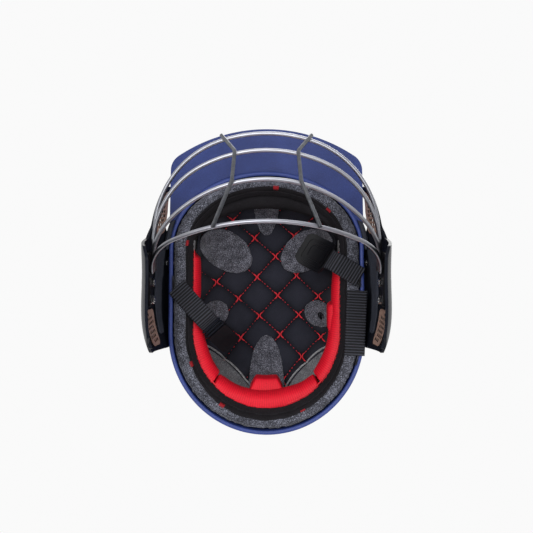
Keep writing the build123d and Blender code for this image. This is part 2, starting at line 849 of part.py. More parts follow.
# Buckle half: a moulded socket with a mouth at its end and a window in each side
buckle_plane = end_plane(left_plane, left_run, left_climb_run, left_climb)
with BuildPart() as buckle:
    with BuildSketch(buckle_plane):
        with Locations((buckle_length / 2 + weld_gap, 0)):
            RectangleRounded(buckle_length, buckle_width, buckle_rounding)
    extrude(amount=buckle_wall / 2, both=True)
    with BuildSketch(buckle_plane):
        with Locations((buckle_length * (1 - buckle_mouth_share / 2) + overrun / 2, 0)):
            Rectangle(buckle_length * buckle_mouth_share + overrun, buckle_width * buckle_mouth_share)
        with Locations((buckle_length / 2, 0)):
            Rectangle(buckle_length * buckle_window_share, buckle_width + overrun)
    extrude(amount=buckle_wall * buckle_window_share / 2, both=True, mode=Mode.SUBTRACT)
buckle.part.label = "buckle"

# Chin cup: an arched plate with rounded corners and two raised borders
cup_plane = end_plane(chin_plane, chin_run, chin_climb_run, chin_climb)
cup_side = Plane(origin=cup_plane.origin, x_dir=cup_plane.x_dir, z_dir=-cup_plane.y_dir)


def cup_plate(lift, wall):
    """The arched plate of the cup, lifted off its middle surface"""
    with BuildPart() as plate:
        with BuildSketch(cup_side):
            with BuildLine(mode=Mode.PRIVATE) as arch:
                ThreePointArc((weld_gap, lift), (cup_length / 2, cup_arch + lift), (cup_length, lift))
            trace(arch.wire(), wall)
        extrude(amount=cup_width / 2, both=True)
    return plate.part


with BuildPart() as cup_body:
    add(cup_plate(0, cup_wall))
    with BuildSketch(cup_plane):
        with Locations((cup_length / 2 + weld_gap, 0)):
            RectangleRounded(cup_length, cup_width, cup_rounding)
    extrude(amount=cup_length, both=True, mode=Mode.INTERSECT)
with BuildPart() as cup_borders:
    add(cup_plate(-cup_wall / 2, cup_border_height * 2))
    with BuildSketch(cup_plane):
        for step in (1, 2):
            border_length = cup_length - step * cup_border_step
            border_width = cup_width - step * cup_border_step
            with Locations((cup_length / 2, 0)):
                RectangleRounded(border_length, border_width, cup_border_rounding)
                RectangleRounded(
                    border_length - 2 * cup_border_width,
                    border_width - 2 * cup_border_width,
                    cup_border_rounding - cup_border_width,
                    mode=Mode.SUBTRACT,
                )
    extrude(amount=cup_length, both=True, mode=Mode.INTERSECT)
with BuildPart() as chin_cup:
    add(cup_body.part)
    add(cup_borders.part)
chin_cup.part.label = "chin_cup"

# Left-hand pieces, mirrored from the right
ear_guard_left = left_of(ear_guard_right.part, "ear_guard_left")
mesh_front_left = left_of(mesh_front_right.part, "mesh_front_left")
mesh_rear_left = left_of(mesh_rear_right.part, "mesh_rear_left")
ear_pad_left = left_of(ear_pad_right.part, "ear_pad_left")
upright_left = left_of(upright_right.part, "upright_left")
side_plate_left = left_of(side_plate_right.part, "side_plate_left")

pieces = [drilled_shell, crown_button, peak, pocketed_liner, rim_roll, lining_band, crown_foam, crown_quilt]
pieces += [*pads, *felts, *bars, *fasteners, *anchors]
pieces += [ear_guard_left, ear_guard_right, mesh_front_left, mesh_front_right]
pieces += [mesh_rear_left, mesh_rear_right]
pieces += [ear_pad_left, ear_pad_right, upright_left, upright_right, side_plate_left, side_plate_right]
pieces += [left_strap, buckle, right_strap, chin_strap, chin_cup]
for piece in pieces:
    export_step(piece.part, "parts/" + piece.part.label + ".step")
print(len(pieces), "pieces written")
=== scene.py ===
import random
import bmesh
import bpy
from math import atan2, copysign, cos, degrees, exp, hypot, pi, radians, sin, sqrt, tan
from mathutils import Matrix, Vector, noise as rough
from mathutils.bvhtree import BVHTree


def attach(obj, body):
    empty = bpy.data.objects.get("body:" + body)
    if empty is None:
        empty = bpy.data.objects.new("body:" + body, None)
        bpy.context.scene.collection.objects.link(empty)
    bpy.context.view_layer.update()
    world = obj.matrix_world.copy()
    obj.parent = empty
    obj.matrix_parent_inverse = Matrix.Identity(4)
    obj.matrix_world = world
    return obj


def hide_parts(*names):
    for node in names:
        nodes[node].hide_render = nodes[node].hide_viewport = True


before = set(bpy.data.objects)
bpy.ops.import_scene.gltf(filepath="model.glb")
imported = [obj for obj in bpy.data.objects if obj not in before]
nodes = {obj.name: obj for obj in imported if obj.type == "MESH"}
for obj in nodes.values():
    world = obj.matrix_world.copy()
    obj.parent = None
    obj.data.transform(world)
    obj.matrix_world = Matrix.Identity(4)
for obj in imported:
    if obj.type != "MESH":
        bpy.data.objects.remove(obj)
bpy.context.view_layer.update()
chance = random.Random(7)
ops = bmesh.ops
print("frame loaded,", len(nodes), "nodes")


# tools for materials: a new one comes with its shader and its object point
def newMaterial(name, roughness, specular=0.5, sheen=0.0, metallic=0.0):
    material = bpy.data.materials.new(name)
    material.use_nodes = True
    shader = material.node_tree.nodes["Principled BSDF"]
    finish = {"Roughness": roughness, "Specular IOR Level": specular, "Sheen Weight": sheen, "Sheen Roughness": 0.5,
              "Metallic": metallic}
    for socket, value in finish.items():
        shader.inputs[socket].default_value = value
    return material, shader, addNode(material.node_tree, "ShaderNodeTexCoord").outputs["Object"]


# a key that names a socket of the node sets that socket, any other the node's own setting
def addNode(tree, kind, settings=None, links=None):
    node = tree.nodes.new(kind)
    for key, value in (settings or {}).items():
        if key in node.inputs.keys():
            node.inputs[key].default_value = value
        else:
            setattr(node, key, value)
    for key, source in (links or {}).items():
        tree.links.new(source, node.inputs[key])
    return node


def fibrePoint(shader):
    return addNode(shader.id_data, "ShaderNodeAttribute", {"attribute_name": "fibre"}).outputs["Vector"]


def alongX(vector):
    return addNode(vector.id_data, "ShaderNodeSeparateXYZ", None, {"Vector": vector}).outputs["X"]


def noise(point, size, detail=3.0, roughness=0.55):
    settings = {"Scale": 1.0 / size, "Detail": detail, "Roughness": roughness}
    return addNode(point.id_data, "ShaderNodeTexNoise", settings, {"Vector": point}).outputs["Fac"]


# lines with the given spacing in metres, along one axis of the point
def lines(point, spacing, direction):
    settings = {"bands_direction": direction, "Scale": pi / (10 * spacing)}
    return addNode(point.id_data, "ShaderNodeTexWave", settings, {"Vector": point}).outputs["Fac"]


def ramp(factor, stops):
    node = addNode(factor.id_data, "ShaderNodeValToRGB", None, {"Fac": factor})
    while len(node.color_ramp.elements) < len(stops):
        node.color_ramp.elements.new(0.5)
    for element, (place, colour) in zip(node.color_ramp.elements, stops):
        element.position = place
        element.color = (*colour, 1.0)
    return node.outputs["Color"]


# one step of arithmetic on two values, each a socket or a number
def calculated(operation, *values):
    tree = [value for value in values if not isinstance(value, (int, float))][0].id_data
    node = addNode(tree, "ShaderNodeMath", {"operation": operation})
    for socket, value in zip(node.inputs, values):
        if isinstance(value, (int, float)):
            socket.default_value = value
        else:
            tree.links.new(value, socket)
    return node.outputs[0]


def weighted(first, firstShare, second, secondShare):
    parts = [calculated("MULTIPLY", *part) for part in ((first, firstShare), (second, secondShare))]
    return calculated("ADD", *parts)


def multiplied(first, second):
    mixer = addNode(first.id_data, "ShaderNodeMix", {"data_type": "RGBA", "blend_type": "MULTIPLY"})
    mixer.inputs[0].default_value = 1.0
    for index, source in ((6, first), (7, second)):
        first.id_data.links.new(source, mixer.inputs[index])
    return mixer.outputs[2]


# lays one shader over another by the share given, as what the tree puts out
def mixShaders(share, under, over, output):
    tree = share.id_data
    mixer = addNode(tree, "ShaderNodeMixShader", None, {"Fac": share})
    tree.links.new(under.outputs[0], mixer.inputs[1])
    tree.links.new(over.outputs[0], mixer.inputs[2])
    tree.links.new(mixer.outputs[0], tree.nodes[output].inputs["Surface"])


def paint(shader, source, socket="Base Color"):
    shader.id_data.links.new(source, shader.inputs[socket])


def bump(shader, height, depth):
    node = addNode(shader.id_data, "ShaderNodeBump", {"Distance": depth}, {"Height": height})
    paint(shader, node.outputs[0], "Normal")


# materials
def clothMaterial(name, dark, light, spacing, roughness, depth=0.00012, specular=0.3):
    material, shader, point = newMaterial(name, roughness, specular)
    yarn = noise(point, spacing, 2.0, 0.6)
    patches = noise(point, 0.03, 2.0)
    mixed = weighted(yarn, 0.7, patches, 0.3)
    paint(shader, ramp(mixed, [(0.3, dark), (0.7, light)]))
    crossed = weighted(lines(point, spacing, "X"), 0.5, lines(point, spacing, "Y"), 0.5)
    bump(shader, weighted(crossed, 0.6, yarn, 0.7), depth)
    return material


def speckledMaterial(name, dark, middle, light, grain):
    material, shader, point = newMaterial(name, 0.95, 0.25, 0.15)
    specks = noise(point, grain, 5.0, 0.75)
    clouds = noise(point, grain * 9, 2.0)
    mixed = weighted(specks, 0.85, clouds, 0.15)
    stops = [(0.38, dark), (0.5, middle), (0.66, light)]
    paint(shader, ramp(mixed, stops))
    bump(shader, specks, 0.0005)
    return material


# ribs across the piece, counted along its own fibre attribute
def ribbedMaterial(name, dark, light, pitch, depth, roughness):
    material, shader, point = newMaterial(name, roughness, 0.25)
    ribs = lines(fibrePoint(shader), pitch, "X")
    loops = noise(point, 0.0012, 3.0, 0.65)
    patches = noise(point, 0.02, 3.0)
    mixed = weighted(weighted(ribs, 0.25, loops, 0.5), 1.0, patches, 0.35)
    paint(shader, ramp(mixed, [(0.3, dark), (0.72, light)]))
    bump(shader, weighted(ribs, 1.0, loops, 0.25), depth)
    return material


# fleece-like cloth, darker in the stitched creases as painted shade and lighter on the puffs as painted light; the
# fibre attribute holds the height of the quilting
def quiltMaterial(name, dark, light, grain):
    material, shader, point = newMaterial(name, 0.95, 0.15, 0.05)
    nap = noise(point, grain, 4.0, 0.7)
    patches = noise(point, 0.02, 3.0)
    paintedCreaseShade = alongX(fibrePoint(shader))
    # painted shade and light: the higher the quilting, the lighter the cloth
    mixed = weighted(weighted(nap, 0.55, patches, 0.25), 1.0, paintedCreaseShade, 0.5)
    paint(shader, ramp(mixed, [(0.34, dark), (1.0, light)]))
    bump(shader, nap, 0.00025)
    return material


# elastic webbing: a painted highlight on the crests of its ribs, and cords along it; fibre X is across and Y along
def webbingMaterial(name, dark, light, pitch, cord):
    material, shader, point = newMaterial(name, 0.6, 0.2)
    ribs = lines(fibrePoint(shader), pitch, "Y")
    cords = lines(fibrePoint(shader), cord, "X")
    fluff = noise(point, 0.0009, 3.0, 0.7)
    # painted highlight: the crests of the ribs are drawn paler
    mixed = weighted(weighted(ribs, 0.6, cords, 0.12), 1.0, fluff, 0.3)
    paint(shader, ramp(mixed, [(0.35, dark), (0.95, light)]))
    bump(shader, weighted(cords, 0.6, fluff, 0.5), 0.00012)
    return material


def plasticMaterial(name, colour, roughness, specular, grain, depth, worn):
    material, shader, point = newMaterial(name, roughness, specular)
    scuffs = noise(point, 0.02, 6.0, 0.7)
    light = tuple(value + worn * 0.25 for value in colour)
    paint(shader, ramp(scuffs, [(0.35, colour), (0.8, light)]))
    finish = ramp(scuffs, [(0.3, (roughness,) * 3), (0.75, (roughness + worn,) * 3)])
    paint(shader, finish, "Roughness")
    bump(shader, noise(point, grain, 2.0), depth)
    return material


# a drawn wire's steel; it may darken away from the middle of the helmet, a painted shade that leaves a painted
# highlight in the middle
def metalMaterial(name, dark, light, roughness, spacing=0.0007, paintedSideShade=None):
    material, shader, point = newMaterial(name, roughness, metallic=1.0)
    drawnPoint = addNode(point.id_data, "ShaderNodeMapping", {"Scale": (1, 1, 4)}, {"Vector": point}).outputs[0]
    drawn = noise(drawnPoint, spacing * 4, 2.0, 0.5)
    colour = ramp(drawn, [(0.3, dark), (0.7, light)])
    if paintedSideShade:
        away = calculated("ABSOLUTE", alongX(point), 0)
        away = calculated("MULTIPLY", away, 1 / paintedSideShade["halfWidth"])
        stops = [(paintedSideShade["start"], (1, 1, 1)), (paintedSideShade["end"], (paintedSideShade["least"],) * 3)]
        colour = multiplied(colour, ramp(away, stops))
    paint(shader, colour)
    spots = noise(point, 0.004, 5.0)
    finish = ramp(spots, [(0.3, (roughness * 0.92,) * 3), (0.75, (roughness * 1.12,) * 3)])
    paint(shader, finish, "Roughness")
    bump(shader, drawn, 0.00001)
    return material


shellCloth = clothMaterial("navy cloth", (0.008, 0.0165, 0.084), (0.0235, 0.045, 0.195), 0.0008, 0.55, 0.00006, 0.4)
shellThread = clothMaterial("navy thread", (0.011, 0.022, 0.105), (0.034, 0.06, 0.25), 0.0005, 0.55, 0.00005, 0.4)
liningCloth = clothMaterial("dark lining", (0.003, 0.0027, 0.0032), (0.015, 0.0135, 0.0165), 0.0009, 0.9, 0.0001, 0.15)
slateCloth = clothMaterial("slate lining", (0.01, 0.012, 0.018), (0.036, 0.04, 0.055), 0.0008, 0.85, 0.0001, 0.2)
redThread = clothMaterial("red thread", (0.42, 0.01, 0.018), (0.76, 0.03, 0.045), 0.0004, 0.6)
tackThread = clothMaterial("bar tack thread", (0.2, 0.006, 0.01), (0.42, 0.015, 0.024), 0.0004, 0.7)
rollFoam = speckledMaterial("speckled roll foam", (0.005, 0.005, 0.008), (0.034, 0.035, 0.045),
                            (0.28, 0.29, 0.36), 0.0012)
paleFoam = speckledMaterial("pale foam", (0.1, 0.1, 0.105), (0.22, 0.22, 0.23), (0.42, 0.42, 0.43), 0.0018)
greyFelt = speckledMaterial("grey felt", (0.008, 0.008, 0.011), (0.052, 0.052, 0.066), (0.32, 0.325, 0.39), 0.0011)
cornerFoam = speckledMaterial("grey corner foam", (0.035, 0.035, 0.04), (0.11, 0.112, 0.125),
                              (0.3, 0.305, 0.32), 0.0013)
blackFoam = speckledMaterial("black foam", (0.008, 0.008, 0.009), (0.02, 0.02, 0.022), (0.06, 0.06, 0.065), 0.002)
quiltCloth = quiltMaterial("black quilt cloth", (0.0025, 0.0025, 0.0045), (0.024, 0.025, 0.036), 0.0011)
redRib = ribbedMaterial("red rib knit", (0.38, 0.002, 0.009), (0.63, 0.004, 0.02), 0.0024, 0.00009, 0.65)
webbing = webbingMaterial("black webbing", (0.0022, 0.0022, 0.0032), (0.04, 0.042, 0.056), 0.003, 0.0011)
glossBlack = plasticMaterial("glossy black shell", (0.005, 0.006, 0.01), 0.28, 0.03, 0.004, 0.00006, 0.03)
satinBlack = plasticMaterial("satin black plastic", (0.003, 0.003, 0.0045), 0.45, 0.15, 0.0007, 0.00006, 0.02)
buckleBlack = plasticMaterial("buckle plastic", (0.003, 0.003, 0.0045), 0.55, 0.1, 0.003, 0.00003, 0.02)
# painted highlight and shade: the grille steel is lighter in the middle of the helmet and darker towards its sides
paintedCentreLight = {"halfWidth": 0.12, "start": 0.25, "end": 0.95, "least": 0.42}
grilleSteel = metalMaterial("grille steel", (0.54, 0.55, 0.6), (0.6, 0.61, 0.67), 0.3, 0.004, paintedCentreLight)
darkSteel = metalMaterial("dark upright steel", (0.11, 0.115, 0.125), (0.17, 0.175, 0.19), 0.34, 0.002)
brightSteel = metalMaterial("bright screw steel", (0.55, 0.55, 0.56), (0.8, 0.8, 0.81), 0.16)

# the inserts' copper, with painted shade on the walls of the holes
meshCopper = metalMaterial("copper mesh", (0.34, 0.2, 0.15), (0.62, 0.42, 0.34), 0.35)
copperTree = meshCopper.node_tree
copperShader = copperTree.nodes["Principled BSDF"]
copperShader.inputs["Metallic"].default_value = 0.45
faceWay = addNode(copperTree, "ShaderNodeTexCoord").outputs["Normal"]
faceSide = calculated("ABSOLUTE", alongX(faceWay), 0)
# painted shade: faces that turn away from the insert's face are drawn nearly black
paintedHoleShade = ramp(faceSide, [(0.5, (0.02, 0.02, 0.02)), (0.62, (1, 1, 1))])
plainCopper = copperShader.inputs["Base Color"].links[0].from_socket
paint(copperShader, multiplied(plainCopper, paintedHoleShade))
print("materials made,", len(bpy.data.materials))


# what stays a CAD node keeps its shape and gets its finish
def dress(material, *names):
    for name in names:
        data = nodes[name].data
        data.materials.clear()
        data.materials.append(material)


dress(shellCloth, "outer_shell", "crown_button", "peak")
dress(blackFoam, "impact_liner")
dress(grilleSteel, "top_bar", "upper_bar", "lower_bar", "chin_bar")
dress(darkSteel, "upright_left", "upright_right")
dress(brightSteel, "pivot_screws", "clamp_screws", "guard_screws", "pivot_nuts", "clamp_nuts", "guard_nuts")
dress(glossBlack, "ear_guard_left", "ear_guard_right")
dress(satinBlack, "side_plate_left", "side_plate_right", "chin_cup")
dress(meshCopper, "mesh_front_left", "mesh_front_right", "mesh_rear_left", "mesh_rear_right")
dress(buckleBlack, "buckle")

# the bowl's own form, in metres: a round arch over straight sides, with an oval dome at each end
bowl = {"halfWidth": 0.1065, "shoulder": 0.1405, "backTurn": 0.056, "frontTurn": -0.034, "backReach": 0.108,
        "frontReach": 0.084, "meanReach": 0.076, "middle": 0.023, "rimHeight": 0.103, "rimTilt": radians(10),
        "padInset": 0.018, "liningInset": 0.02}
wholeRound = 2 * pi * bowl["meanReach"] + 2 * (bowl["backTurn"] - bowl["frontTurn"])
rimY = Vector((0, cos(bowl["rimTilt"]), -sin(bowl["rimTilt"])))
rimZ = Vector((0, sin(bowl["rimTilt"]), cos(bowl["rimTilt"])))


def rimHeight(y, rise=0.0):
    return bowl["rimHeight"] + rise - (y - bowl["middle"]) * tan(bowl["rimTilt"])


# where a bowl's layer stops being straight in line with this place, and how far its dome reaches from there
def domeAt(y, inset):
    turn = min(max(y, bowl["frontTurn"]), bowl["backTurn"])
    return turn, (bowl["backReach"] if y > turn else bowl["frontReach"]) - inset


# the place on the bowl's layer at this inset that lies nearest in line with a point, and its outward direction
def onBowl(point, inset):
    wide = bowl["halfWidth"] - inset
    turn, reach = domeAt(point.y, inset)
    middle = Vector((0, turn, min(point.z, bowl["shoulder"])))
    away = point - middle
    flat = Vector((away.x / wide, away.y / reach, away.z / wide)).normalized()
    place = middle + Vector((flat.x * wide, flat.y * reach, flat.z * wide))
    outward = Vector((flat.x / wide, flat.y / reach, flat.z / wide)).normalized()
    return place, outward


# a place on the outline of the bowl, so far round it from the right side, so far above the rim and so far in
def onRound(along, rise, inset):
    wide = bowl["halfWidth"] - inset
    front, back, radius = bowl["frontTurn"], bowl["backTurn"], bowl["meanReach"]
    backEnd = back + pi * radius
    frontStart = backEnd + back - front
    if along < front or along > frontStart:
        angle = pi + (along - frontStart) / radius if along > frontStart else (along - front) / radius
        x, y = wide * cos(angle), front + (bowl["frontReach"] - inset) * sin(angle)
    elif along <= back:
        x, y = wide, along
    elif along < backEnd:
        angle = (along - back) / radius
        x, y = wide * cos(angle), back + (bowl["backReach"] - inset) * sin(angle)
    else:
        x, y = -wide, back - (along - backEnd)
    return Vector((x, y, rimHeight(y, rise)))


# how far round the bowl a point lies, in metres from the right side
def roundBowl(point):
    front, back, radius = bowl["frontTurn"], bowl["backTurn"], bowl["meanReach"]
    if point.y > back:
        return back + atan2(point.y - back, point.x) * radius
    if point.x < 0 and point.y >= front:
        return 2 * back + pi * radius - point.y
    if point.y < front:
        return front + atan2(point.y - front, point.x) * radius
    return point.y


def newObject(name, data):
    made = bpy.data.objects.new(name, data)
    bpy.context.collection.objects.link(made)
    return made


def newMesh(name, form, material):
    data = bpy.data.meshes.new(name)
    form.to_mesh(data)
    form.free()
    data.materials.append(material)
    return newObject(name, data)


# a new piece from a bmesh, with its finish and its body, and the CAD nodes that it stands for
def newPiece(name, form, material, body="helmet", stands=(), smooth=True):
    piece = newMesh(name, form, material)
    if smooth:
        piece.data.polygons.foreach_set("use_smooth", [True] * len(piece.data.polygons))
    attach(piece, body)
    if stands:
        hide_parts(*stands)
    return piece


def outwards(form):
    ops.remove_doubles(form, verts=form.verts, dist=0.00001)
    ops.recalc_face_normals(form, faces=form.faces)


# a piece of closed tubes or drops that touch or cross, so its doubles stay
def threadPiece(name, form, material, body="helmet"):
    ops.recalc_face_normals(form, faces=form.faces)
    newPiece(name, form, material, body)


# a CAD node's form, merged, as the start of the soft piece that stands for it
def nodeForm(name):
    form = bmesh.new()
    form.from_mesh(nodes[name].data)
    ops.remove_doubles(form, verts=form.verts, dist=0.00001)
    return form


def applyModifier(piece, kind, **settings):
    modifier = piece.modifiers.new(kind.lower(), kind)
    for key, value in settings.items():
        setattr(modifier, key, value)
    graph = bpy.context.evaluated_depsgraph_get()
    baked = bpy.data.meshes.new_from_object(piece.evaluated_get(graph))
    materials = list(piece.data.materials)
    piece.modifiers.clear()
    piece.data = baked
    if not baked.materials:
        for material in materials:
            baked.materials.append(material)
    baked.polygons.foreach_set("use_smooth", [True] * len(baked.polygons))


clothSettings = {"use_pressure": True, "quality": 5, "tension_stiffness": 8, "bending_stiffness": 0.4}
swellFrames = 14


# swells a closed cushion by cloth simulation; no point moves further than the cap, nor into what it lies on
def swell(piece, pressure, cap, held):
    start = [vertex.co.copy() for vertex in piece.data.vertices]
    modifier = piece.modifiers.new("swell", "CLOTH")
    for key, value in clothSettings.items():
        setattr(modifier.settings, key, value)
    modifier.settings.uniform_pressure_force = pressure
    modifier.settings.effector_weights.gravity = 0
    modifier.point_cache.frame_start = 1
    modifier.point_cache.frame_end = swellFrames
    scene = bpy.context.scene
    for step in range(1, swellFrames + 1):
        scene.frame_set(step)
    graph = bpy.context.evaluated_depsgraph_get()
    swollen = [vertex.co.copy() for vertex in piece.evaluated_get(graph).data.vertices]
    piece.modifiers.clear()
    scene.frame_set(1)
    for vertex, first, last in zip(piece.data.vertices, start, swollen):
        move = last - first
        if held:
            outward = onBowl(first, bowl["padInset"])[1]
            into = move.dot(outward)
            if into > 0:
                move = move - outward * into
        if move.length > cap:
            move = move * (cap / move.length)
        vertex.co = first + move
    piece.data.update()


def setFibre(piece, place):
    fibre = piece.data.attributes.new("fibre", "FLOAT_VECTOR", "POINT")
    for vertex, value in zip(piece.data.vertices, fibre.data):
        value.vector = place(vertex.co)


endSpan = 9


# how far a cushion's point is pushed: towards the head, most on the inner side of the cushion's middle, and along the
# bowl near an end that is drawn out to meet its neighbour
def bulge(point, kind):
    surface, outward = onBowl(point, bowl["padInset"])
    azimuth = degrees(atan2(point.y - bowl["middle"], point.x))
    push = Vector((0, 0, 0))
    for end, direction, amount in kind["ends"]:
        near = max(1 - abs(azimuth - end) / endSpan, 0)
        push = push + Vector((0, 0, 1)).cross(outward) * direction * amount * near
    off = (azimuth % 360 - kind["middle"]) / kind["halfSpan"]
    if abs(off) <= 1:
        depth = min(max((surface - point).dot(outward) / kind["wall"], 0), 1)
        push = push + outward * -kind["amount"] * depth * cos(off * pi / 2) ** 0.8
    return push


# foam, felt and cushions: the CAD form remeshed evenly, thinned, swollen and given a soft surface
def softPiece(settings):
    name = settings["name"]
    node = settings["node"]
    piece = newPiece(name, nodeForm(node), settings["material"], stands=(node,))
    applyModifier(piece, "REMESH", mode="VOXEL", voxel_size=settings["voxel"], adaptivity=0.0)
    form = bmesh.new()
    form.from_mesh(piece.data)
    axes = {"use_axis_x": True, "use_axis_y": True, "use_axis_z": True}
    for turn in range(settings["smoothing"]):
        ops.smooth_vert(form, verts=form.verts, factor=0.5, **axes)
    form.normal_update()
    lumps = settings.get("lumps", 0.0)
    for vertex in form.verts:
        vertex.co -= vertex.normal * settings.get("thinner", 0.0)
        if "bulge" in settings:
            vertex.co += bulge(vertex.co, settings["bulge"])
        if lumps:
            vertex.co += vertex.normal * lumps * rough.noise(vertex.co / settings["lumpSize"])
    form.to_mesh(piece.data)
    form.free()
    if "pressure" in settings:
        swell(piece, settings["pressure"], settings["cap"], settings.get("held"))
    if "fibre" in settings:
        setFibre(piece, settings["fibre"])
    if settings.get("finer"):
        applyModifier(piece, "SUBSURF", levels=1, render_levels=1)
    print("soft piece", name, len(piece.data.polygons), "faces")
    return piece


def padFibre(point):
    return Vector((roundBowl(point), point.z - rimHeight(point.y), 0))


# the red cushions: how each bulges about its middle azimuth in degrees, how far, how deep its foam is there, and the
# ends that are drawn out, each with its azimuth, its direction and how far
pads = [
    {"name": "rear_cushion", "node": "rear_pad", "bulge": {
        "middle": 90, "halfSpan": 36, "amount": 0.0085, "wall": 0.0155, "ends": [(59, -1, 0.0039), (121, 1, 0.0039)]}},
    {"name": "right_side_cushion", "node": "side_pad_right", "bulge": {
        "middle": 46, "halfSpan": 34, "amount": 0.005, "wall": 0.0155, "ends": [(55, 1, 0.0034)]}},
    {"name": "left_rear_cushion", "node": "side_pad_rear_left", "bulge": {
        "middle": 134, "halfSpan": 34, "amount": 0.005, "wall": 0.0155, "ends": [(125, -1, 0.0034)]}},
    {"name": "left_front_cushion", "node": "side_pad_front_left"},
]
for settings in pads:
    settings.update({
        "material": redRib, "slot": "red_rib_cloth", "voxel": 0.0022, "thinner": 0.0009, "smoothing": 5, "finer": True,
        "lumps": 0.0011, "lumpSize": 0.026, "pressure": 4.0, "cap": 0.0016, "fill": 0.7, "held": True,
        "fibre": padFibre})
    softPiece(settings)
softPiece({
    "name": "forehead_cushion", "node": "forehead_pad", "material": liningCloth, "slot": "dark_lining",
    "voxel": 0.0022, "thinner": 0.0008, "smoothing": 5, "lumps": 0.0008, "lumpSize": 0.022, "pressure": 4.0,
    "cap": 0.0015, "fill": 0.6, "held": True, "finer": True,
    "bulge": {"middle": 270, "halfSpan": 50, "amount": 0.017, "wall": 0.009, "ends": []}})
for side in ("left", "right"):
    softPiece({
        "name": "ear_cushion_" + side, "node": "ear_pad_" + side, "material": slateCloth, "slot": "slate_cloth",
        "voxel": 0.0011, "thinner": 0.0003, "smoothing": 3, "pressure": 3.0, "cap": 0.0006, "fill": 0.5,
        "lumps": 0.0006, "lumpSize": 0.012})
for node in ("felt_rear", "felt_front", "felt_front_left", "felt_front_right", "felt_side_left", "felt_side_right"):
    softPiece({"name": node + "_patch", "node": node, "material": greyFelt, "slot": "grey_felt", "voxel": 0.0011,
               "thinner": -0.0001, "smoothing": 2, "lumps": 0.0007, "lumpSize": 0.005})
print("cushions and felts ready")

# foam roll round the rim, with a butt seam at the back
roll = {"seamHalfWidth": 0.0013, "seamDepth": 0.0011, "seamFrom": 0.12, "radius": 0.007,
        "inset": 0.0128, "rise": 0.003}
rollPiece = softPiece({"name": "rim_foam_roll", "node": "rim_roll", "material": rollFoam, "slot": "charcoal_foam",
                       "voxel": 0.0017, "smoothing": 2, "lumps": 0.0011, "lumpSize": 0.0035})
middle = onRound(bowl["backTurn"] + pi * bowl["meanReach"] / 2, roll["rise"], roll["inset"])
for vertex in rollPiece.data.vertices:
    if vertex.co.y > roll["seamFrom"] and abs(vertex.co.x) < roll["seamHalfWidth"] * 2:
        away = Vector((0, vertex.co.y - middle.y, vertex.co.z - middle.z))
        pinch = exp(-(vertex.co.x / roll["seamHalfWidth"]) ** 2)
        vertex.co -= away.normalized() * roll["seamDepth"] * pinch

# lining collar between the roll and the cushions, slightly gathered
collar = {"gather": 0.0004, "gatherPitch": 0.009}
collarPiece = softPiece({"name": "lining_collar", "node": "lining_band", "material": liningCloth,
                         "slot": "dark_lining", "voxel": 0.0009, "smoothing": 1})
for vertex in collarPiece.data.vertices:
    along = roundBowl(vertex.co) / collar["gatherPitch"]
    wave = rough.noise(Vector((along, 0.3, 0))) + 0.5 * rough.noise(Vector((along * 2.7, 4.0, 0)))
    vertex.co += onBowl(vertex.co, bowl["liningInset"])[1] * wave * collar["gather"]

# the same lining turned over the roll's inner side, wider at the front and the back than along the sides
wrap = {"alongSteps": 260, "steps": 9, "off": 0.0004, "sideTurn": 32, "endTurn": 64, "turnShare": 0.7,
        "wobble": 5, "wobbleSize": 0.02, "pucker": 0.0003, "puckerPitch": 0.008, "wall": 0.0008,
        "headInset": 0.0222, "headRise": 0.0055, "cutWidth": 0.0118, "cutArea": 0.0068}
wrapRadius = roll["radius"] + wrap["off"]
wrapForm = bmesh.new()
ops.create_grid(wrapForm, x_segments=wrap["alongSteps"], y_segments=wrap["steps"], size=0.5)
for vertex in wrapForm.verts:
    along = bowl["frontTurn"] + wholeRound * (vertex.co.x + 0.5)
    share = vertex.co.y + 0.5
    flat = onRound(along, 0, bowl["liningInset"])
    endwise = abs(sin(atan2(flat.y - bowl["middle"], flat.x))) ** 3
    reach = wrap["sideTurn"] + (wrap["endTurn"] - wrap["sideTurn"]) * endwise
    reach += wrap["wobble"] * rough.noise(flat / wrap["wobbleSize"])
    if share < wrap["turnShare"]:
        angle = radians(-reach * (1 - share / wrap["turnShare"]))
        inset = roll["inset"] + wrapRadius * cos(angle)
        lift = roll["rise"] + wrapRadius * sin(angle)
    else:
        up = (share - wrap["turnShare"]) / (1 - wrap["turnShare"])
        inset = (roll["inset"] + wrapRadius) * (1 - up) + wrap["headInset"] * up
        lift = roll["rise"] * (1 - up) + wrap["headRise"] * up
    pucker = rough.noise(Vector((along / wrap["puckerPitch"], share * 2, 0))) * wrap["pucker"]
    vertex.co = onRound(along, lift - pucker, inset)
ops.remove_doubles(wrapForm, verts=wrapForm.verts, dist=0.0001)
ops.recalc_face_normals(wrapForm, faces=wrapForm.faces)
ops.solidify(wrapForm, geom=wrapForm.faces[:], thickness=wrap["wall"])
outwards(wrapForm)
wrapPiece = newPiece("collar_wrap", wrapForm, liningCloth)
print("roll and collar ready")


# the oval ball that is laid onto the bowl to make a sheet
seedForm = {"radii": Vector((0.085, 0.13, 0.1)), "centre": Vector((0, 0.011, 0.145))}


def cutAway(form, place, direction):
    everything = form.verts[:] + form.edges[:] + form.faces[:]
    ops.bisect_plane(form, geom=everything, plane_co=place, plane_no=direction, clear_inner=True, dist=0.00001)


# a sheet of the bowl's form at an inset, cut off parallel to the rim
def bowlSheet(inset, rise, rings):
    form = bmesh.new()
    ops.create_icosphere(form, subdivisions=rings, radius=1.0)
    for vertex in form.verts:
        vertex.co = onBowl(vertex.co * seedForm["radii"] + seedForm["centre"], inset)[0]
    cutAway(form, Vector((0, bowl["middle"], bowl["rimHeight"] + rise)), rimZ)
    ops.recalc_face_normals(form, faces=form.faces)
    topFace = max(form.faces, key=lambda face: face.calc_center_median().z)
    if topFace.normal.z < 0:
        ops.reverse_faces(form, faces=form.faces)
    return form


